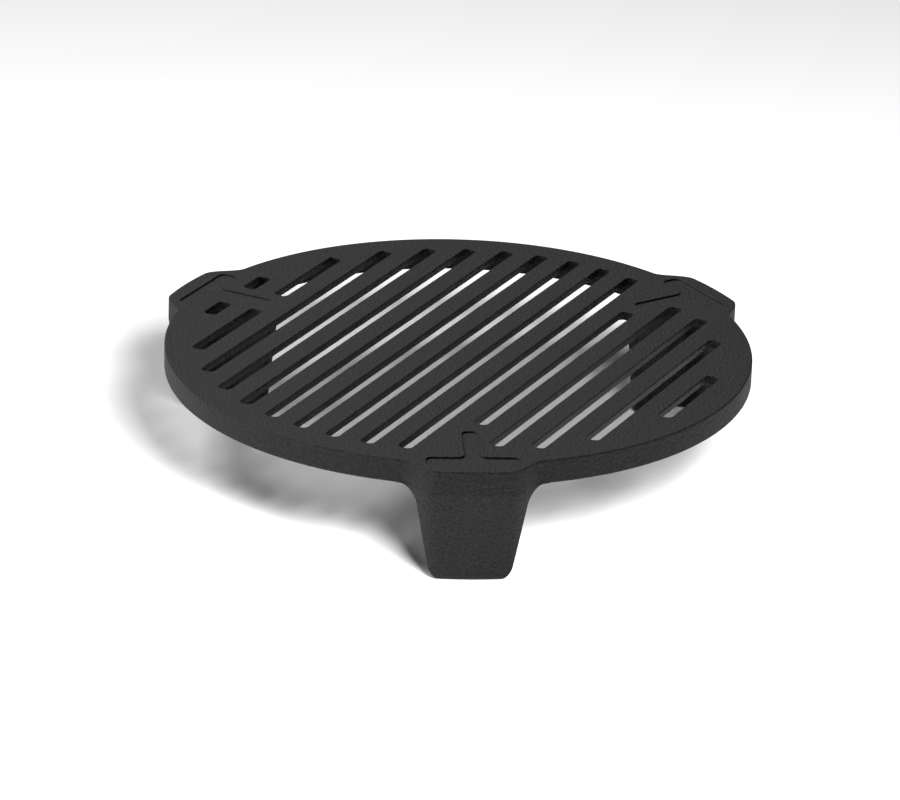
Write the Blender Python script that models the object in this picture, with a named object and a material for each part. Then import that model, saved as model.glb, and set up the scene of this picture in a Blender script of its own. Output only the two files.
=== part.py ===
"""A round slotted cast-iron grate: a rimmed plate with three lugs, and a T-section leg under each lug.

Metres, +Z up, feet on z = 0. The slots run along X and one lug points to +Y. The plate, its cuts and the
legs are made about the disc's own axis, and an empty moves them so that the whole grate is centred.
"""

import math

import bmesh
import bpy
from mathutils import Matrix

# Plan of the plate
DISC_RADIUS = 0.120
LUG_REACH = 0.0090
LUG_FACE_HALF = 0.0132
LUG_SHOULDER = 0.0150
LEG_DIRECTIONS = {"leg_rear": 90, "leg_front_left": 210, "leg_front_right": 330}

# Heights
GRATE_HEIGHT = 0.049
PLATE_THICKNESS = 0.004
RIM_DEPTH = 0.010
RIM_WIDTH = 0.0104

# Slots, in rows either side of the middle one
SLOT_PITCH = 0.01482
SLOT_WIDTH = 0.0054
SLOT_CORNER = 0.0020
SLOT_CORNER_STEPS = 3
SLOT_DRAFT = math.radians(15)
SLOT_TO_RIM = 0.0005
SHORTEST_SLOT = 0.010
SLOT_TO_PAD = 0.0018

# T-shaped recess over each leg
RECESS_DEPTH = 0.0009
RECESS_SETBACK = 0.0072
RECESS_BAR_HALF = 0.0182
RECESS_BAR_WIDTH = 0.0078
RECESS_STEM_HALF = 0.0031
RECESS_STEM_LENGTH = 0.0252
RECESS_CORNER = 0.0024
RECESS_FILLET = 0.0026

# Legs: sizes at the top, at the foot, and the rounds between
LEG_TOP_HALF = 0.0232
LEG_FOOT_HALF = 0.0158
LEG_LEAN = 0.0065
BAR_INNER_DRAFT = 0.0026
RIB_TOP_HALF = 0.0045
RIB_FOOT_HALF = 0.0036
RIB_TOP_LENGTH = 0.0232
RIB_END_DRAFT = 0.0038
ROOT_FILLET = 0.0070
RIB_FILLET = 0.0030
FOOT_CORNER = 0.0056
FOOT_EDGE = 0.0018
LEG_OUTER_CORNER = 0.0060
LEG_INNER_CORNER = 0.0040
RIB_TO_BAR_TOP_FILLET = 0.0018
RIB_TO_BAR_FOOT_FILLET = 0.0060
RIB_END_CORNER = 0.0024
RIB_END_LIMIT = 0.9

# Clearances and fineness
SEAM_GAP = 0.0003
CUT_OVERRUN = 0.001
ARC_STEPS = 5
FACE_STEPS = 6
SHOULDER_STEPS = 6
DISC_ARC_STEPS = 32
RIM_STEPS = 120
LEG_FACE_STEPS = 16
SHARP_FROM = math.radians(35)
ROUND_PROFILE = 0.5
TOLERANCE = 1e-6

# Matt black cast iron
IRON_COLOUR = (0.035, 0.035, 0.036, 1.0)
IRON_METALLIC = 0.3
IRON_ROUGHNESS = 0.62

# Sizes that follow from the ones above
LUG_RADIUS = DISC_RADIUS + LUG_REACH
RIM_INNER = DISC_RADIUS - RIM_WIDTH
PLATE_BOTTOM = GRATE_HEIGHT - PLATE_THICKNESS
RIM_BOTTOM = GRATE_HEIGHT - RIM_DEPTH
LEG_HEIGHT = RIM_BOTTOM - SEAM_GAP
RIB_TOP_END = RIM_INNER - RIB_TOP_LENGTH
PAD_HALF = RIB_TOP_HALF + RIB_FILLET
PAD_END = RIB_TOP_END - RIB_FILLET
SLOT_FIELD = RIM_INNER - SLOT_TO_RIM
ROWS_EACH_SIDE = int((SLOT_FIELD - SLOT_WIDTH / 2.0) / SLOT_PITCH)
RECESS_BAR_OUTER = LUG_RADIUS - RECESS_SETBACK
RECESS_BAR_INNER = RECESS_BAR_OUTER - RECESS_BAR_WIDTH
RECESS_STEM_END = RECESS_BAR_INNER - RECESS_STEM_LENGTH


def clear_scene():
    for item in list(bpy.data.objects):
        bpy.data.objects.remove(item, do_unlink=True)


def new_collection(name):
    group = bpy.data.collections.new(name)
    bpy.context.scene.collection.children.link(group)
    return group


def cast_iron(name):
    material = bpy.data.materials.new(name)
    material.use_nodes = True
    shader = material.node_tree.nodes["Principled BSDF"]
    shader.inputs["Base Color"].default_value = IRON_COLOUR
    shader.inputs["Metallic"].default_value = IRON_METALLIC
    shader.inputs["Roughness"].default_value = IRON_ROUGHNESS
    return material


def place(name, mesh, group, centre, degrees=0.0):
    """Link a mesh as an object that turns about the disc's axis."""
    item = bpy.data.objects.new(name, mesh)
    group.objects.link(item)
    item.parent = centre
    item.rotation_euler.z = math.radians(degrees)
    return item


def make_cutter(name, mesh, group, centre, degrees=0.0):
    item = place(name, mesh, group, centre, degrees)
    item.hide_render = True
    item.display_type = "WIRE"
    return item


def subtract(target, cutter):
    cut = target.modifiers.new(cutter.name, "BOOLEAN")
    cut.operation = "DIFFERENCE"
    cut.solver = "EXACT"
    cut.object = cutter


def plate_radius(angle):
    """Distance from the disc's axis to the plate's edge: the disc, rising smoothly onto each lug."""
    reach = 0.0
    for degrees in LEG_DIRECTIONS.values():
        away = (angle - math.radians(degrees) + math.pi) % math.tau - math.pi
        along = (abs(away) * DISC_RADIUS - LUG_FACE_HALF) / LUG_SHOULDER
        along = min(max(along, 0.0), 1.0)
        reach = max(reach, LUG_REACH * (1.0 - along * along * (3.0 - 2.0 * along)))
    return DISC_RADIUS + reach


def plate_outline():
    face = LUG_FACE_HALF / DISC_RADIUS
    shoulder = LUG_SHOULDER / DISC_RADIUS
    plain = math.tau / len(LEG_DIRECTIONS) - 2.0 * (face + shoulder)
    angles = []
    for degrees in LEG_DIRECTIONS.values():
        start = math.radians(degrees) - face
        angles += [start + 2.0 * face * step / FACE_STEPS for step in range(FACE_STEPS)]
        start += 2.0 * face
        angles += [start + shoulder * step / SHOULDER_STEPS for step in range(SHOULDER_STEPS)]
        start += shoulder
        angles += [start + plain * step / DISC_ARC_STEPS for step in range(DISC_ARC_STEPS)]
        start += plain
        angles += [start + shoulder * step / SHOULDER_STEPS for step in range(SHOULDER_STEPS)]
    return [(plate_radius(a) * math.cos(a), plate_radius(a) * math.sin(a)) for a in angles]


def rounded(corners):
    """Turn (x, y, radius) corners into points, with an arc at each corner that has a radius."""
    points = []
    for index, (x, y, radius) in enumerate(corners):
        if radius == 0.0:
            points.append((x, y))
            continue
        before = corners[index - 1]
        after = corners[(index + 1) % len(corners)]
        back = math.atan2(before[1] - y, before[0] - x)
        ahead = math.atan2(after[1] - y, after[0] - x)
        opening = (ahead - back + math.pi) % math.tau - math.pi
        middle = back + opening / 2.0
        half = abs(opening) / 2.0
        centre_x = x + radius / math.sin(half) * math.cos(middle)
        centre_y = y + radius / math.sin(half) * math.sin(middle)
        sweep = math.copysign(math.pi / 2.0 - half, -opening)
        for step in range(ARC_STEPS + 1):
            turn = middle + math.pi - sweep * (1.0 - 2.0 * step / ARC_STEPS)
            points.append((centre_x + radius * math.cos(turn), centre_y + radius * math.sin(turn)))
    return points


def flat_mesh(name, outline, low, high):
    """A flat body with the given outline, from height low to height high."""
    curve = bpy.data.curves.new(name, "CURVE")
    curve.dimensions = "2D"
    curve.fill_mode = "BOTH"
    curve.extrude = (high - low) / 2.0
    spline = curve.splines.new("POLY")
    spline.points.add(len(outline) - 1)
    spline.use_cyclic_u = True
    for point, (x, y) in zip(spline.points, outline):
        point.co = (x, y, 0.0, 1.0)
    drawn = bpy.data.objects.new(name, curve)
    drawn.location.z = (high + low) / 2.0
    bpy.context.scene.collection.objects.link(drawn)
    bpy.context.view_layer.update()
    mesh = bpy.data.meshes.new_from_object(drawn.evaluated_get(bpy.context.evaluated_depsgraph_get()))
    mesh.transform(drawn.matrix_world)
    bpy.data.objects.remove(drawn, do_unlink=True)
    bpy.data.curves.remove(curve)
    solid = bmesh.new()
    solid.from_mesh(mesh)
    bmesh.ops.remove_doubles(solid, verts=solid.verts, dist=TOLERANCE)
    bmesh.ops.recalc_face_normals(solid, faces=solid.faces)
    bmesh.ops.dissolve_edges(solid, edges=[edge for edge in solid.edges if not on_side(edge)])
    solid.to_mesh(mesh)
    solid.free()
    return mesh


def on_side(edge):
    """Whether an edge borders one of a flat body's upright faces."""
    return any(abs(vert.co.z - edge.verts[0].co.z) > TOLERANCE for face in edge.link_faces for vert in face.verts)


def slot_stretches(row):
    """The stretches of X that a row's slot runs over: within the rim, and clear of every leg's pad."""
    y = row * SLOT_PITCH
    half = math.sqrt(SLOT_FIELD**2 - (abs(y) + SLOT_WIDTH / 2.0) ** 2)
    stretches = [(-half, half)]
    for degrees in LEG_DIRECTIONS.values():
        blocked = blocked_stretch(y, math.radians(degrees))
        if blocked:
            stretches = without(stretches, blocked)
    return [(low, high) for low, high in stretches if high - low > SHORTEST_SLOT]


def blocked_stretch(y, direction):
    """Where the line at this y crosses the strip that a leg's rib and its pad need."""
    keep_half = PAD_HALF + SLOT_TO_PAD
    keep_from = PAD_END - SLOT_TO_PAD
    across, outward = abs(math.cos(direction)), math.sin(direction)
    if across < TOLERANCE:
        return (-keep_half, keep_half) if y * outward > keep_from else None
    if y * outward <= 0.0:
        return None
    starts = (keep_from - y * outward) / across
    middle = y * math.cos(direction) / outward
    spread = keep_half / abs(outward)
    side = math.copysign(1.0, math.cos(direction))
    near = max(starts, side * middle - spread)
    far = side * middle + spread
    if near >= far:
        return None
    return tuple(sorted((side * near, side * far)))


def without(stretches, blocked):
    left = []
    for low, high in stretches:
        left.append((low, min(high, blocked[0])))
        left.append((max(low, blocked[1]), high))
    return [(low, high) for low, high in left if high > low]


def slots_mesh():
    """Every slot as one cutter."""
    solid = bmesh.new()
    for row in range(-ROWS_EACH_SIDE, ROWS_EACH_SIDE + 1):
        for low, high in slot_stretches(row):
            add_slot(solid, low, high, row * SLOT_PITCH)
    mesh = bpy.data.meshes.new("slots")
    solid.to_mesh(mesh)
    solid.free()
    return mesh


def add_slot(solid, low, high, y):
    """A box with rounded upright edges, whose long sides spread downwards at the slot's draft."""
    box = bmesh.ops.create_cube(solid, size=1.0)["verts"]
    for vert in box:
        vert.co.z = GRATE_HEIGHT + CUT_OVERRUN if vert.co.z > 0.0 else PLATE_BOTTOM - CUT_OVERRUN
        half_width = SLOT_WIDTH / 2.0 + (GRATE_HEIGHT - vert.co.z) * math.tan(SLOT_DRAFT)
        vert.co.y = y + math.copysign(half_width, vert.co.y)
        vert.co.x = high if vert.co.x > 0.0 else low
    edges = {edge for vert in box for edge in vert.link_edges}
    upright = [edge for edge in edges if abs(edge.verts[0].co.z - edge.verts[1].co.z) > CUT_OVERRUN]
    bmesh.ops.bevel(
        solid,
        geom=upright,
        offset=SLOT_CORNER,
        segments=SLOT_CORNER_STEPS,
        profile=ROUND_PROFILE,
        affect="EDGES",
    )


def recess_mesh():
    corners = [
        (RECESS_BAR_HALF, RECESS_BAR_INNER, RECESS_CORNER),
        (RECESS_BAR_HALF, RECESS_BAR_OUTER, RECESS_CORNER),
        (-RECESS_BAR_HALF, RECESS_BAR_OUTER, RECESS_CORNER),
        (-RECESS_BAR_HALF, RECESS_BAR_INNER, RECESS_CORNER),
        (-RECESS_STEM_HALF, RECESS_BAR_INNER, RECESS_FILLET),
        (-RECESS_STEM_HALF, RECESS_STEM_END, RECESS_CORNER),
        (RECESS_STEM_HALF, RECESS_STEM_END, RECESS_CORNER),
        (RECESS_STEM_HALF, RECESS_BAR_INNER, RECESS_FILLET),
    ]
    return flat_mesh("recess", rounded(corners), GRATE_HEIGHT - RECESS_DEPTH, GRATE_HEIGHT + CUT_OVERRUN)


def pad_mesh():
    """The land that carries a leg's rib up to the thin plate, inside the rim: the leg's own top outline."""
    low = RIM_BOTTOM - 2.0 * CUT_OVERRUN
    return flat_mesh("pad", leg_section(LEG_HEIGHT), low, PLATE_BOTTOM + CUT_OVERRUN)


def underside_mesh():
    """The shallow round pocket under the slotted plate, inside the rim."""
    low = RIM_BOTTOM - CUT_OVERRUN
    solid = bmesh.new()
    bmesh.ops.create_cone(
        solid,
        cap_ends=True,
        segments=RIM_STEPS,
        radius1=RIM_INNER,
        radius2=RIM_INNER,
        depth=PLATE_BOTTOM - low,
        matrix=Matrix.Translation((0.0, 0.0, (PLATE_BOTTOM + low) / 2.0)),
    )
    mesh = bpy.data.meshes.new("underside")
    solid.to_mesh(mesh)
    solid.free()
    return mesh


def build_plate(parts, cutters, centre):
    disc = flat_mesh("grate_plate", plate_outline(), RIM_BOTTOM, GRATE_HEIGHT)
    plate = place("grate_plate", disc, parts, centre)
    underside = make_cutter("underside_cutter", underside_mesh(), cutters, centre)
    pad = pad_mesh()
    recess = recess_mesh()
    subtract(plate, underside)
    subtract(plate, make_cutter("slot_cutter", slots_mesh(), cutters, centre))
    for name, degrees in LEG_DIRECTIONS.items():
        turn = degrees - 90
        subtract(underside, make_cutter(name + "_pad", pad, cutters, centre, turn))
        subtract(plate, make_cutter(name + "_recess", recess, cutters, centre, turn))
    return plate


def quarter_round(distance, radius):
    """How far a quarter round of this radius stands off at this distance from where it starts."""
    if distance >= radius:
        return 0.0
    return radius - math.sqrt(radius**2 - (radius - distance) ** 2)


def leg_section(height):
    """The leg's outline at a height above the floor, for the lug that points to +Y."""
    drop = LEG_HEIGHT - height
    share = drop / LEG_HEIGHT
    foot_round = quarter_round(height, FOOT_EDGE)
    half = LEG_TOP_HALF + (LEG_FOOT_HALF - LEG_TOP_HALF) * share
    half += quarter_round(drop, ROOT_FILLET) - quarter_round(height, FOOT_CORNER)
    rib = RIB_TOP_HALF + (RIB_FOOT_HALF - RIB_TOP_HALF) * share
    rib += quarter_round(drop, RIB_FILLET) - foot_round
    inner = RIM_INNER + BAR_INNER_DRAFT * share + foot_round
    end = RIB_TOP_END + RIB_END_DRAFT * share - quarter_round(drop, RIB_FILLET) + foot_round
    end_corner = min(RIB_END_CORNER + quarter_round(drop, RIB_FILLET), RIB_END_LIMIT * rib)
    fillet = RIB_TO_BAR_TOP_FILLET + (RIB_TO_BAR_FOOT_FILLET - RIB_TO_BAR_TOP_FILLET) * share
    lean = LEG_LEAN * share + foot_round
    flat = half - LEG_OUTER_CORNER
    along = [1.0 - 2.0 * step / LEG_FACE_STEPS for step in range(1, LEG_FACE_STEPS)]
    face = [(flat * share_of_flat, LUG_RADIUS, 0.0) for share_of_flat in along]
    corners = [
        (half, inner, LEG_INNER_CORNER),
        (half, LUG_RADIUS, LEG_OUTER_CORNER),
        *face,
        (-half, LUG_RADIUS, LEG_OUTER_CORNER),
        (-half, inner, LEG_INNER_CORNER),
        (-rib, inner, fillet),
        (-rib, end, end_corner),
        (rib, end, end_corner),
        (rib, inner, fillet),
    ]
    return [within_lug(x, y, lean) for x, y in rounded(corners)]


def within_lug(x, y, lean):
    """Draw a point in to the lug's own edge, less the lean of the leg's outer face."""
    limit = plate_radius(math.atan2(y, x)) - lean
    scale = min(1.0, limit / math.hypot(x, y))
    return x * scale, y * scale


def leg_heights():
    """The heights at which the leg's outline is drawn: round steps at its root and foot, straight between."""
    turns = [math.pi / 2.0 * step / ARC_STEPS for step in range(ARC_STEPS + 1)]
    root = [LEG_HEIGHT - ROOT_FILLET * (1.0 - math.cos(turn)) for turn in turns]
    foot = [FOOT_CORNER * (1.0 - math.sin(turn)) for turn in turns]
    return root + foot


def leg_mesh():
    solid = bmesh.new()
    rings = []
    for height in leg_heights():
        rings.append([solid.verts.new((x, y, height)) for x, y in leg_section(height)])
    for upper, lower in zip(rings, rings[1:]):
        for index in range(len(upper)):
            after = (index + 1) % len(upper)
            solid.faces.new((upper[index], lower[index], lower[after], upper[after]))
    solid.faces.new(rings[0])
    solid.faces.new(reversed(rings[-1]))
    bmesh.ops.recalc_face_normals(solid, faces=solid.faces)
    mesh = bpy.data.meshes.new("leg")
    solid.to_mesh(mesh)
    solid.free()
    return mesh


def shade(item):
    item.data.shade_smooth()
    item.data.set_sharp_from_angle(angle=SHARP_FROM)


def main():
    clear_scene()
    parts = new_collection("three_legged_grate")
    cutters = new_collection("cutters")
    centre = bpy.data.objects.new("disc_axis", None)
    parts.objects.link(centre)
    centre.location.y = -LUG_REACH / 2.0
    plate = build_plate(parts, cutters, centre)
    plate.data.materials.append(cast_iron("grate_plate"))
    shade(plate)
    leg = leg_mesh()
    for name, degrees in LEG_DIRECTIONS.items():
        item = place(name, leg.copy(), parts, centre, degrees - 90)
        item.data.materials.append(cast_iron(name))
        shade(item)


main()
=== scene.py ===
"""Looks for a round slotted cast-iron grate on three legs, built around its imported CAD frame.

Metres, in the frame's axes: the slots run along X, one lug points to +Y and the feet stand on z = 0. The casting
is modelled finely as one body with rounded edges, and then parted into a plate and three legs where the CAD
parts them, so that no joint line shows.
"""

import math

import bmesh
import bpy
from mathutils import Matrix, Vector


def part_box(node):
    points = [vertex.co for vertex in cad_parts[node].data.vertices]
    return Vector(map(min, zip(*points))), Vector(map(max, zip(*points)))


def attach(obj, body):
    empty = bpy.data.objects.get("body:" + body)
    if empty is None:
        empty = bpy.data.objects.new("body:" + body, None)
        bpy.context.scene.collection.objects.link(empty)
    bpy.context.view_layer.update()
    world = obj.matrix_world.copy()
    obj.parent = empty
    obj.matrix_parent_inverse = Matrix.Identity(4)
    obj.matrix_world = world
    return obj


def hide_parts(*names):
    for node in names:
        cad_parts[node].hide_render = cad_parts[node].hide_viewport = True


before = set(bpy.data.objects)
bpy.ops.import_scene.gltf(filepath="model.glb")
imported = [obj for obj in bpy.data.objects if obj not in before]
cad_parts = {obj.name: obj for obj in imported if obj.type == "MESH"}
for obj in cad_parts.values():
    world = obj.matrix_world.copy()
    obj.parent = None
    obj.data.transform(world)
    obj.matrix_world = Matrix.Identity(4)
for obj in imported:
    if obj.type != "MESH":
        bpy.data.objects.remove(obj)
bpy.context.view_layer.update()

# Measured on the CAD frame
PLATE_LOW, PLATE_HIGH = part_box("grate_plate")
LEG_CAD_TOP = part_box("leg_rear")[1].z
DISC_RADIUS = PLATE_HIGH.x
LUG_RADIUS = PLATE_HIGH.y - PLATE_LOW.y - DISC_RADIUS
LUG_REACH = LUG_RADIUS - DISC_RADIUS
AXIS_Y = PLATE_HIGH.y - LUG_RADIUS
TOP = PLATE_HIGH.z
RIM_BOTTOM = PLATE_LOW.z
PARTING = (RIM_BOTTOM + LEG_CAD_TOP) / 2.0

# Plan of the plate
LUG_FACE_HALF = 0.0132
LUG_SHOULDER = 0.0150
LEG_DIRECTIONS = {"leg_rear": 90, "leg_front_left": 210, "leg_front_right": 330}
PLATE_THICKNESS = 0.004
RIM_WIDTH = 0.0104
PLATE_BOTTOM = TOP - PLATE_THICKNESS
RIM_INNER = DISC_RADIUS - RIM_WIDTH

# Slots, in rows either side of the middle one
SLOT_PITCH = 0.01482
SLOT_WIDTH = 0.0054
SLOT_CORNER = 0.0020
SLOT_DRAFT = math.radians(15)
SLOT_TO_RIM = 0.0005
SHORTEST_SLOT = 0.010
SLOT_TO_PAD = 0.0018
SLOT_FIELD = RIM_INNER - SLOT_TO_RIM
ROWS_EACH_SIDE = int((SLOT_FIELD - SLOT_WIDTH / 2.0) / SLOT_PITCH)

# T-shaped recess over each leg
RECESS_DEPTH = 0.0009
RECESS_SETBACK = 0.0072
RECESS_BAR_HALF = 0.0182
RECESS_BAR_WIDTH = 0.0078
RECESS_STEM_HALF = 0.0031
RECESS_STEM_LENGTH = 0.0252
RECESS_CORNER = 0.0024
RECESS_FILLET = 0.0026

# Legs: sizes at the root, at the foot, and the rounds between
LEG_TOP_HALF = 0.0232
LEG_FOOT_HALF = 0.0158
LEG_LEAN = 0.0065
BAR_INNER_DRAFT = 0.0026
RIB_TOP_HALF = 0.0045
RIB_FOOT_HALF = 0.0036
RIB_TOP_LENGTH = 0.0232
RIB_END_DRAFT = 0.0038
RIB_TOP_END = RIM_INNER - RIB_TOP_LENGTH
ROOT_FILLET = 0.0070
RIB_FILLET = 0.0030
FOOT_CORNER = 0.0056
FOOT_EDGE = 0.0018
LEG_OUTER_CORNER = 0.0060
LEG_INNER_CORNER = 0.0040
RIB_TO_BAR_TOP_FILLET = 0.0018
RIB_TO_BAR_FOOT_FILLET = 0.0060
RIB_END_CORNER = 0.0024
MOST_OF_RIB = 0.9

# Small foundry rounds along the edges
TOP_EDGE = 0.0007
LOW_EDGE = 0.0008
SLOT_TOP_EDGE = 0.0005
SLOT_LOW_EDGE = 0.0004
RECESS_EDGE = 0.0003
RECESS_FLOOR_FILLET = 0.0004
POCKET_EDGE = 0.0006
POCKET_FILLET = 0.0016

# Where a leg runs up inside the plate
UNDER_SKIN = 0.00003
BLEND_OVERLAP = 0.00005
INSIDE_PLATE = 0.001
NOTCH_RUNOUT = 0.007

# Fineness
CUT_OVERRUN = 0.001
CORNER_STEPS = 7
EDGE_STEPS = 4
ROOT_STEPS = 12
SHAFT_STEPS = 6
FACE_STEPS = 14
SHOULDER_STEPS = 14
DISC_ARC_STEPS = 84
POCKET_STEPS = 240
LEG_FACE_STEPS = 28
SHARP_FROM = math.radians(38)
WELD = 0.000002

# Cast iron: dark and light grain, the mottling over it, the range of roughness, and the skin's relief
IRON_DARK = (0.008, 0.008, 0.0083, 1.0)
IRON_LIGHT = (0.020, 0.020, 0.0204, 1.0)
MOTTLE_DARK = (0.86, 0.86, 0.86, 1.0)
MOTTLE_LIGHT = (1.12, 1.12, 1.12, 1.0)
IRON_SPECULAR = 0.2
SMOOTHEST = 0.58
ROUGHEST = 0.76
PEBBLE_DEPTH = 0.0006
WAVE_DEPTH = 0.0004

# Camera: how far it is turned, raised and rolled, its distance and lens, and the point it looks at
VIEW_TURN = math.radians(-63.37)
VIEW_RISE = math.radians(22.99)
VIEW_ROLL = math.radians(1.84)
VIEW_DISTANCE = 1.925
VIEW_LENS = 193.8
AIM_ACROSS = -0.0028
AIM_BACK = -0.0582

# The studio's own axes: X to the camera's right, Y away from it, Z up, about the middle of the grate's top
STUDIO = Matrix.Translation((0.0, AXIS_Y, TOP)) @ Matrix.Rotation(VIEW_TURN, 4, "Z")

# Floor, backdrop and softboxes: each softbox's place in the studio's axes, the side of its square, and its watts
WHITE = (1.0, 1.0, 1.0, 1.0)
FLOOR_COLOUR = (0.86, 0.86, 0.86, 1.0)
FLOOR_HALF = 6.0
FLOOR_ROUGHNESS = 0.9
FLOOR_SPECULAR = 0.1
BACKDROP_STRENGTH = 0.06
FLOOR_SOFTBOXES = {
    "floor_key": ((0.42, -1.14, 0.88), 0.50, 56.0),
    "floor_overhead": ((-0.80, -0.10, 1.26), 0.50, 12.0),
}
IRON_SOFTBOXES = {
    "left_softbox": ((-1.25, -0.30, 0.55), 0.80, 13.0),
    "top_softbox": ((-0.30, 0.50, 1.35), 1.00, 28.0),
}


# ---------------------------------------------------------------- outlines and lofts


def quarter_round(distance, radius):
    """How far a quarter round of this radius stands off at this distance from where it starts."""
    if distance >= radius:
        return 0.0
    return radius - math.sqrt(radius**2 - (radius - max(distance, 0.0)) ** 2)


def round_heights(start, radius, steps):
    """Heights that follow a quarter round which starts at one height and runs up (or down, if negative)."""
    turns = [math.pi / 2.0 * step / steps for step in range(steps + 1)]
    return [start + radius * (1.0 - math.cos(turn)) for turn in turns]


def rounded(corners, steps=CORNER_STEPS):
    """Turn (x, y, radius) corners into points, with an arc at each corner that has a radius."""
    points = []
    for index, (x, y, radius) in enumerate(corners):
        if radius == 0.0:
            points.append((x, y))
            continue
        before = corners[index - 1]
        after = corners[(index + 1) % len(corners)]
        back = math.atan2(before[1] - y, before[0] - x)
        ahead = math.atan2(after[1] - y, after[0] - x)
        opening = (ahead - back + math.pi) % math.tau - math.pi
        middle = back + opening / 2.0
        half = abs(opening) / 2.0
        centre_x = x + radius / math.sin(half) * math.cos(middle)
        centre_y = y + radius / math.sin(half) * math.sin(middle)
        sweep = math.copysign(math.pi / 2.0 - half, -opening)
        for step in range(steps + 1):
            turn = middle + math.pi - sweep * (1.0 - 2.0 * step / steps)
            points.append((centre_x + radius * math.cos(turn), centre_y + radius * math.sin(turn)))
    return points


def add_loft(solid, rings):
    """Skin a closed body over level rings, each (height, outline), listed from the lowest up."""
    loops = [[solid.verts.new((x, y, height)) for x, y in outline] for height, outline in rings]
    count = len(loops[0])
    for lower, upper in zip(loops, loops[1:]):
        for index in range(count):
            after = (index + 1) % count
            solid.faces.new((lower[index], lower[after], upper[after], upper[index]))
    solid.faces.new(reversed(loops[0]))
    solid.faces.new(loops[-1])


def finished_mesh(name, solid):
    """Turn a body of lofts into a mesh about the row's origin, with every face looking out."""
    bmesh.ops.recalc_face_normals(solid, faces=solid.faces)
    mesh = bpy.data.meshes.new(name)
    solid.to_mesh(mesh)
    solid.free()
    return mesh


# ---------------------------------------------------------------- plate


def plate_radius(angle):
    """Distance from the disc's axis to the plate's edge: the disc, rising smoothly onto each lug."""
    reach = 0.0
    for degrees in LEG_DIRECTIONS.values():
        away = (angle - math.radians(degrees) + math.pi) % math.tau - math.pi
        along = (abs(away) * DISC_RADIUS - LUG_FACE_HALF) / LUG_SHOULDER
        along = min(max(along, 0.0), 1.0)
        reach = max(reach, LUG_REACH * (1.0 - along * along * (3.0 - 2.0 * along)))
    return DISC_RADIUS + reach


def edge_angles():
    """Angles round the plate's edge, closer together on the lugs and their shoulders."""
    face = LUG_FACE_HALF / DISC_RADIUS
    shoulder = LUG_SHOULDER / DISC_RADIUS
    plain = math.tau / len(LEG_DIRECTIONS) - 2.0 * (face + shoulder)
    stretches = (
        (2.0 * face, FACE_STEPS),
        (shoulder, SHOULDER_STEPS),
        (plain, DISC_ARC_STEPS),
        (shoulder, SHOULDER_STEPS),
    )
    angles = []
    for degrees in LEG_DIRECTIONS.values():
        start = math.radians(degrees) - face
        for length, steps in stretches:
            angles += [start + length * step / steps for step in range(steps)]
            start += length
    return angles


def plate_body():
    """The lugged disc, its top and bottom edges rounded."""
    angles = edge_angles()
    heights = round_heights(RIM_BOTTOM, LOW_EDGE, EDGE_STEPS)
    heights += reversed(round_heights(TOP, -TOP_EDGE, EDGE_STEPS))
    rings = []
    for height in heights:
        inset = quarter_round(height - RIM_BOTTOM, LOW_EDGE) + quarter_round(TOP - height, TOP_EDGE)
        outline = [
            ((plate_radius(a) - inset) * math.cos(a), (plate_radius(a) - inset) * math.sin(a)) for a in angles
        ]
        rings.append((height, outline))
    solid = bmesh.new()
    add_loft(solid, rings)
    return finished_mesh("plate", solid)


def pocket_body():
    """The shallow round pocket under the slotted plate, with a fillet at its ceiling."""
    heights = [RIM_BOTTOM - CUT_OVERRUN]
    heights += round_heights(RIM_BOTTOM, POCKET_EDGE, EDGE_STEPS)
    heights += reversed(round_heights(PLATE_BOTTOM, -POCKET_FILLET, EDGE_STEPS))
    rings = []
    for height in heights:
        radius = RIM_INNER + quarter_round(height - RIM_BOTTOM, POCKET_EDGE)
        radius -= quarter_round(PLATE_BOTTOM - height, POCKET_FILLET)
        turns = [math.tau * step / POCKET_STEPS for step in range(POCKET_STEPS)]
        rings.append((height, [(radius * math.cos(turn), radius * math.sin(turn)) for turn in turns]))
    solid = bmesh.new()
    add_loft(solid, rings)
    return finished_mesh("pocket", solid)


def blocked_stretch(y, direction):
    """Where the line at this y crosses the strip that a leg's rib needs."""
    keep_half = RIB_TOP_HALF + RIB_FILLET + SLOT_TO_PAD
    keep_from = RIB_TOP_END - RIB_FILLET - SLOT_TO_PAD
    across, outward = abs(math.cos(direction)), math.sin(direction)
    if across < WELD:
        return (-keep_half, keep_half) if y * outward > keep_from else None
    if y * outward <= 0.0:
        return None
    starts = (keep_from - y * outward) / across
    middle = y * math.cos(direction) / outward
    spread = keep_half / abs(outward)
    side = math.copysign(1.0, math.cos(direction))
    near = max(starts, side * middle - spread)
    far = side * middle + spread
    if near >= far:
        return None
    return tuple(sorted((side * near, side * far)))


def slot_stretches(row):
    """The stretches of X that a row's slot runs over: within the rim, and clear of every leg's rib."""
    y = row * SLOT_PITCH
    half = math.sqrt(SLOT_FIELD**2 - (abs(y) + SLOT_WIDTH / 2.0) ** 2)
    stretches = [(-half, half)]
    for degrees in LEG_DIRECTIONS.values():
        blocked = blocked_stretch(y, math.radians(degrees))
        if blocked:
            parts = []
            for low, high in stretches:
                parts.append((low, min(high, blocked[0])))
                parts.append((max(low, blocked[1]), high))
            stretches = parts
    return [(low, high) for low, high in stretches if high - low > SHORTEST_SLOT]


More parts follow.
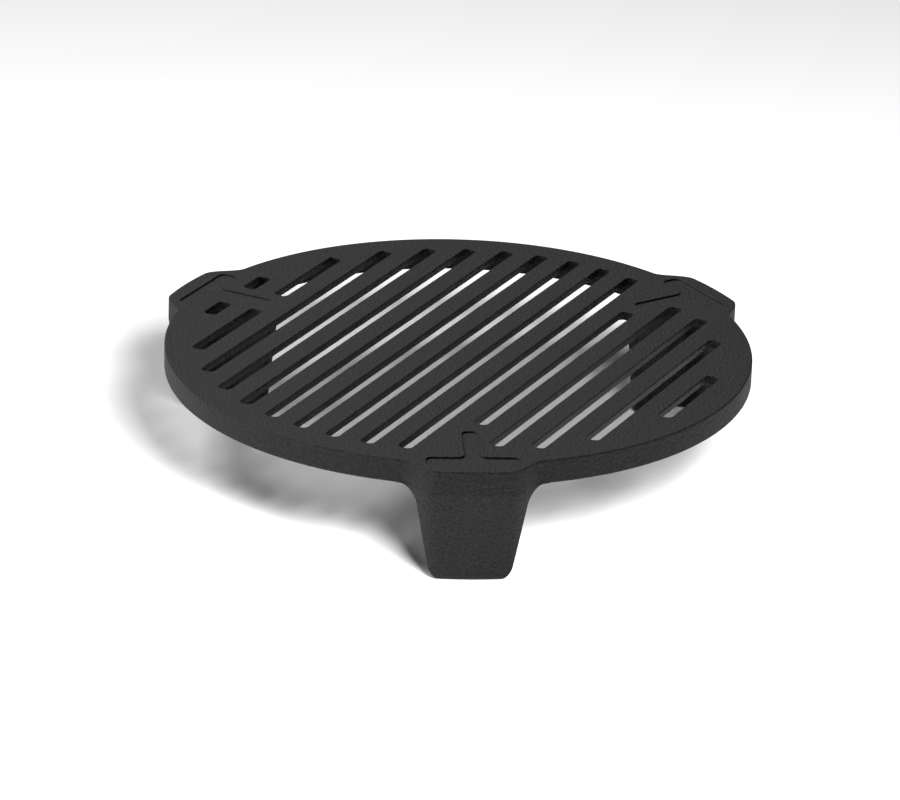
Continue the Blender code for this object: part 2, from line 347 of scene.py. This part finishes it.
def slot_rings(low, high, y):
    """A slot's outline from under the plate to above it: drafted long sides, rounded edges at both faces."""
    heights = [PLATE_BOTTOM - CUT_OVERRUN]
    heights += round_heights(PLATE_BOTTOM, SLOT_LOW_EDGE, EDGE_STEPS)
    heights += reversed(round_heights(TOP, -SLOT_TOP_EDGE, EDGE_STEPS))
    heights.append(TOP + CUT_OVERRUN)
    rings = []
    for height in heights:
        depth = min(max(TOP - height, 0.0), PLATE_THICKNESS)
        flare = quarter_round(height - PLATE_BOTTOM, SLOT_LOW_EDGE) + quarter_round(TOP - height, SLOT_TOP_EDGE)
        half_width = SLOT_WIDTH / 2.0 + depth * math.tan(SLOT_DRAFT) + flare
        corner = SLOT_CORNER + flare
        left, right = low - flare, high + flare
        corners = [
            (right, y - half_width, corner),
            (right, y + half_width, corner),
            (left, y + half_width, corner),
            (left, y - half_width, corner),
        ]
        rings.append((height, rounded(corners)))
    return rings


def slots_body():
    """Every slot, as one set of cutters."""
    solid = bmesh.new()
    for row in range(-ROWS_EACH_SIDE, ROWS_EACH_SIDE + 1):
        for low, high in slot_stretches(row):
            add_loft(solid, slot_rings(low, high, row * SLOT_PITCH))
    return finished_mesh("slots", solid)


def recess_outline(grow):
    """The T over the lug at +Y, its sides moved out by grow."""
    outer = LUG_RADIUS - RECESS_SETBACK + grow
    inner = LUG_RADIUS - RECESS_SETBACK - RECESS_BAR_WIDTH - grow
    end = inner - RECESS_STEM_LENGTH
    bar = RECESS_BAR_HALF + grow
    stem = RECESS_STEM_HALF + grow
    corner = RECESS_CORNER + grow
    fillet = RECESS_FILLET - grow
    corners = [
        (bar, inner, corner),
        (bar, outer, corner),
        (-bar, outer, corner),
        (-bar, inner, corner),
        (-stem, inner, fillet),
        (-stem, end, corner),
        (stem, end, corner),
        (stem, inner, fillet),
    ]
    return rounded(corners)


def recess_body():
    """The cutter of one T recess, with a small fillet round its floor and a rounded edge at its mouth."""
    floor = TOP - RECESS_DEPTH
    heights = round_heights(floor, RECESS_FLOOR_FILLET, EDGE_STEPS)
    heights += reversed(round_heights(TOP, -RECESS_EDGE, EDGE_STEPS))
    heights.append(TOP + CUT_OVERRUN)
    rings = []
    for height in heights:
        grow = quarter_round(TOP - height, RECESS_EDGE) - quarter_round(height - floor, RECESS_FLOOR_FILLET)
        rings.append((height, recess_outline(grow)))
    solid = bmesh.new()
    add_loft(solid, rings)
    return finished_mesh("recess", solid)


# ---------------------------------------------------------------- legs


def leg_outline(height):
    """The leg's outline at a height, for the lug at +Y: a bar behind the lug's face and a rib inwards."""
    drop = max(RIM_BOTTOM + BLEND_OVERLAP - height, 0.0)
    rise = max(height - RIM_BOTTOM, 0.0)
    share = drop / RIM_BOTTOM
    foot_round = quarter_round(height, FOOT_EDGE)
    half = LEG_TOP_HALF + (LEG_FOOT_HALF - LEG_TOP_HALF) * share
    half += quarter_round(drop, ROOT_FILLET) - quarter_round(height, FOOT_CORNER)
    half += NOTCH_RUNOUT * min(rise / LOW_EDGE, 1.0)
    rib_drop = PLATE_BOTTOM + BLEND_OVERLAP - height
    rib_round = quarter_round(rib_drop, RIB_FILLET)
    rib = RIB_TOP_HALF + (RIB_FOOT_HALF - RIB_TOP_HALF) * share + rib_round - foot_round
    inner = RIM_INNER + BAR_INNER_DRAFT * share + foot_round + (UNDER_SKIN if rise else 0.0)
    end = RIB_TOP_END + RIB_END_DRAFT * share - rib_round + foot_round
    end_corner = min(RIB_END_CORNER + rib_round, MOST_OF_RIB * rib)
    fillet = RIB_TO_BAR_TOP_FILLET + (RIB_TO_BAR_FOOT_FILLET - RIB_TO_BAR_TOP_FILLET) * share
    inset = UNDER_SKIN + LEG_LEAN * share + foot_round
    if rise > LOW_EDGE:
        inset = INSIDE_PLATE
    flat = half - LEG_OUTER_CORNER
    along = [1.0 - 2.0 * step / LEG_FACE_STEPS for step in range(1, LEG_FACE_STEPS)]
    corners = [
        (half, inner, LEG_INNER_CORNER),
        (half, LUG_RADIUS, LEG_OUTER_CORNER),
        *[(flat * share_of_flat, LUG_RADIUS, 0.0) for share_of_flat in along],
        (-half, LUG_RADIUS, LEG_OUTER_CORNER),
        (-half, inner, LEG_INNER_CORNER),
        (-rib, inner, fillet),
        (-rib, end, end_corner),
        (rib, end, end_corner),
        (rib, inner, fillet),
    ]
    return [drawn_in(x, y, inset) for x, y in rounded(corners)]


def drawn_in(x, y, inset):
    """Draw a point in until it lies this far inside the plate's edge."""
    limit = plate_radius(math.atan2(y, x)) - inset
    scale = min(1.0, limit / math.hypot(x, y))
    return x * scale, y * scale


def leg_heights():
    """Heights of a leg's rings: close together at its foot, its root and where its rib meets the plate."""
    turns = [math.pi / 2.0 * step / ROOT_STEPS for step in range(ROOT_STEPS + 1)]
    heights = [FOOT_CORNER * (1.0 - math.sin(turn)) for turn in turns]
    root = RIM_BOTTOM - ROOT_FILLET
    heights += [FOOT_CORNER + (root - FOOT_CORNER) * step / SHAFT_STEPS for step in range(1, SHAFT_STEPS)]
    heights += round_heights(RIM_BOTTOM + BLEND_OVERLAP, -ROOT_FILLET, ROOT_STEPS)
    heights += [RIM_BOTTOM + LOW_EDGE * step / EDGE_STEPS for step in range(EDGE_STEPS + 1)]
    heights.append(RIM_BOTTOM + LOW_EDGE + UNDER_SKIN)
    heights += round_heights(PLATE_BOTTOM + BLEND_OVERLAP, -RIB_FILLET, ROOT_STEPS)
    heights.append(PLATE_BOTTOM + INSIDE_PLATE)
    return sorted(set(heights))


def leg_body():
    """One leg, with the root that runs up inside the plate."""
    solid = bmesh.new()
    add_loft(solid, [(height, leg_outline(height)) for height in leg_heights()])
    return finished_mesh("leg", solid)


# ---------------------------------------------------------------- the casting


def placed(name, mesh, degrees=0.0):
    """Link a mesh as an object that stands on the disc's axis, turned about it."""
    item = bpy.data.objects.new(name, mesh)
    bpy.context.scene.collection.objects.link(item)
    item.matrix_world = Matrix.Translation((0.0, AXIS_Y, 0.0)) @ Matrix.Rotation(math.radians(degrees), 4, "Z")
    return item


def combine(target, tool, operation):
    """Add a Boolean of one object with another."""
    step = target.modifiers.new(tool.name, "BOOLEAN")
    step.operation = operation
    step.solver = "EXACT"
    step.object = tool


def whole_casting():
    """Plate, slots, recesses and legs as one mesh in the row's own frame."""
    plate = placed("whole", plate_body())
    tools = [placed("pocket", pocket_body()), placed("slots", slots_body())]
    recess = recess_body()
    tools += [placed(name + "_recess", recess, degrees - 90) for name, degrees in LEG_DIRECTIONS.items()]
    for tool in tools:
        combine(plate, tool, "DIFFERENCE")
    leg = leg_body()
    legs = [placed(name + "_body", leg, degrees - 90) for name, degrees in LEG_DIRECTIONS.items()]
    for tool in legs:
        combine(plate, tool, "UNION")
    bpy.context.view_layer.update()
    evaluated = plate.evaluated_get(bpy.context.evaluated_depsgraph_get())
    mesh = bpy.data.meshes.new_from_object(evaluated)
    mesh.transform(plate.matrix_world)
    for item in [plate, *tools, *legs]:
        bpy.data.objects.remove(item, do_unlink=True)
    return mesh


def parted(whole, keep_above):
    """The part of the casting above or below the plane where the CAD parts its legs, closed at the cut."""
    solid = bmesh.new()
    solid.from_mesh(whole)
    bmesh.ops.remove_doubles(solid, verts=solid.verts, dist=WELD)
    everything = [*solid.verts, *solid.edges, *solid.faces]
    bmesh.ops.bisect_plane(
        solid,
        geom=everything,
        plane_co=(0.0, 0.0, PARTING),
        plane_no=(0.0, 0.0, 1.0),
        clear_inner=keep_above,
        clear_outer=not keep_above,
    )
    rim = [edge for edge in solid.edges if edge.is_boundary]
    bmesh.ops.edgeloop_fill(solid, edges=rim)
    return solid


def keep_leg(solid, degrees):
    """Drop every vertex that belongs to another leg."""
    outward = Vector((math.cos(math.radians(degrees)), math.sin(math.radians(degrees)), 0.0))
    axis = Vector((0.0, AXIS_Y, 0.0))
    others = [vert for vert in solid.verts if (vert.co - axis).dot(outward) < 0.0]
    bmesh.ops.delete(solid, geom=others, context="VERTS")


def shown_piece(name, solid, material):
    """An object of its own, shaded evenly over its rounds."""
    piece = bpy.data.objects.new(name, finished_mesh(name, solid))
    bpy.context.scene.collection.objects.link(piece)
    piece.data.materials.clear()
    piece.data.materials.append(material)
    piece.data.shade_smooth()
    piece.data.set_sharp_from_angle(angle=SHARP_FROM)
    shading = piece.modifiers.new("even_shading", "WEIGHTED_NORMAL")
    shading.mode = "FACE_AREA"
    shading.keep_sharp = True
    return piece


def build_casting():
    """The four pieces, each taking the place of its CAD node."""
    whole = whole_casting()
    plate = shown_piece("slotted_plate", parted(whole, True), cast_iron("plate_iron"))
    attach(plate, "root")
    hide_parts("grate_plate")
    pieces = [plate]
    leg_iron = cast_iron("leg_iron")
    for name, degrees in LEG_DIRECTIONS.items():
        solid = parted(whole, False)
        keep_leg(solid, degrees)
        leg = shown_piece(name.replace("leg", "t_leg"), solid, leg_iron)
        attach(leg, "root")
        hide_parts(name)
        pieces.append(leg)
    return pieces


# ---------------------------------------------------------------- materials


def cast_iron(name):
    """Matt black iron with the fine pebbled skin of a sand casting."""
    material = bpy.data.materials.new(name)
    material.use_nodes = True
    tree = material.node_tree
    shader = tree.nodes["Principled BSDF"]
    shader.inputs["Metallic"].default_value = 0.0
    shader.inputs["Specular IOR Level"].default_value = IRON_SPECULAR
    place = tree.nodes.new("ShaderNodeTexCoord").outputs["Object"]

    clouds = noise(tree, place, scale=38.0, detail=3.0, roughness=0.55)
    grain = noise(tree, place, scale=900.0, detail=3.0, roughness=0.6)
    colour = ramp(tree, grain, (0.35, IRON_DARK), (0.68, IRON_LIGHT))
    mottle = ramp(tree, clouds, (0.30, MOTTLE_DARK), (0.72, MOTTLE_LIGHT))
    tint = tree.nodes.new("ShaderNodeMix")
    tint.data_type = "RGBA"
    tint.blend_type = "MULTIPLY"
    tint.inputs["Factor"].default_value = 1.0
    tree.links.new(colour, tint.inputs["A"])
    tree.links.new(mottle, tint.inputs["B"])
    tree.links.new(tint.outputs["Result"], shader.inputs["Base Color"])

    gloss = tree.nodes.new("ShaderNodeMapRange")
    gloss.inputs["To Min"].default_value = SMOOTHEST
    gloss.inputs["To Max"].default_value = ROUGHEST
    tree.links.new(clouds, gloss.inputs["Value"])
    tree.links.new(gloss.outputs["Result"], shader.inputs["Roughness"])

    pebbles = noise(tree, place, scale=760.0, detail=2.0, roughness=0.5)
    dimples = bump(tree, pebbles, strength=1.0, distance=PEBBLE_DEPTH)
    waves = bump(tree, clouds, strength=0.5, distance=WAVE_DEPTH, under=dimples)
    tree.links.new(waves, shader.inputs["Normal"])
    return material


def noise(tree, place, scale, detail, roughness):
    """Value from 0 to 1 of a cloudy noise of this scale."""
    texture = tree.nodes.new("ShaderNodeTexNoise")
    texture.inputs["Scale"].default_value = scale
    texture.inputs["Detail"].default_value = detail
    texture.inputs["Roughness"].default_value = roughness
    tree.links.new(place, texture.inputs["Vector"])
    return texture.outputs["Fac"]


def ramp(tree, value, *stops):
    """Colours at places from 0 to 1, blended between."""
    scale = tree.nodes.new("ShaderNodeValToRGB")
    for element, (place, colour) in zip(scale.color_ramp.elements, stops):
        element.position = place
        element.color = colour
    tree.links.new(value, scale.inputs["Fac"])
    return scale.outputs["Color"]


def bump(tree, height, strength, distance, under=None):
    """A relief from a height map, over another relief if there is one."""
    relief = tree.nodes.new("ShaderNodeBump")
    relief.inputs["Strength"].default_value = strength
    relief.inputs["Distance"].default_value = distance
    tree.links.new(height, relief.inputs["Height"])
    if under:
        tree.links.new(under, relief.inputs["Normal"])
    return relief.outputs["Normal"]


# ---------------------------------------------------------------- studio


def add_camera():
    """A long lens that looks down on the grate from the front."""
    data = bpy.data.cameras.new("camera")
    data.lens = VIEW_LENS
    camera = bpy.data.objects.new("camera", data)
    bpy.context.scene.collection.objects.link(camera)
    away = Vector((0.0, -math.cos(VIEW_RISE), math.sin(VIEW_RISE))) * VIEW_DISTANCE
    position = Matrix.Translation(Vector((AIM_ACROSS, AIM_BACK, 0.0)) + away)
    tilt = Matrix.Rotation(math.pi / 2.0 - VIEW_RISE, 4, "X") @ Matrix.Rotation(VIEW_ROLL, 4, "Z")
    camera.matrix_world = STUDIO @ position @ tilt
    bpy.context.scene.camera = camera


def lit_group(name, items):
    """A collection that names what a light may fall on."""
    group = bpy.data.collections.new(name)
    for item in items:
        group.objects.link(item)
    return group


def add_softbox(name, place, side, watts, falls_on):
    """A square area light that faces the middle of the grate's top and falls on one group only."""
    data = bpy.data.lights.new(name, "AREA")
    data.shape = "SQUARE"
    data.size = side
    data.energy = watts
    light = bpy.data.objects.new(name, data)
    bpy.context.scene.collection.objects.link(light)
    facing = Vector(place).to_track_quat("Z", "Y").to_matrix().to_4x4()
    light.matrix_world = STUDIO @ Matrix.Translation(place) @ facing
    light.light_linking.receiver_collection = falls_on


def add_floor():
    """A wide pale floor under the feet."""
    solid = bmesh.new()
    bmesh.ops.create_grid(solid, x_segments=1, y_segments=1, size=FLOOR_HALF)
    floor = bpy.data.objects.new("floor", finished_mesh("floor", solid))
    bpy.context.scene.collection.objects.link(floor)
    material = bpy.data.materials.new("pale_floor")
    material.use_nodes = True
    shader = material.node_tree.nodes["Principled BSDF"]
    shader.inputs["Base Color"].default_value = FLOOR_COLOUR
    shader.inputs["Roughness"].default_value = FLOOR_ROUGHNESS
    shader.inputs["Specular IOR Level"].default_value = FLOOR_SPECULAR
    floor.data.materials.append(material)
    return floor


def add_studio(pieces):
    """Camera, floor and lights. The floor's shadow and the iron's shading come from different sides."""
    scene = bpy.context.scene
    scene.view_settings.view_transform = "Standard"
    world = bpy.data.worlds.new("studio")
    world.use_nodes = True
    world.node_tree.nodes["Background"].inputs["Color"].default_value = WHITE
    world.node_tree.nodes["Background"].inputs["Strength"].default_value = BACKDROP_STRENGTH
    scene.world = world
    add_camera()
    lit_floor = lit_group("lit_floor", [add_floor()])
    for name, (place, side, watts) in FLOOR_SOFTBOXES.items():
        add_softbox(name, place, side, watts, lit_floor)
    lit_iron = lit_group("lit_iron", pieces)
    for name, (place, side, watts) in IRON_SOFTBOXES.items():
        add_softbox(name, place, side, watts, lit_iron)


# ---------------------------------------------------------------- scene

add_studio(build_casting())
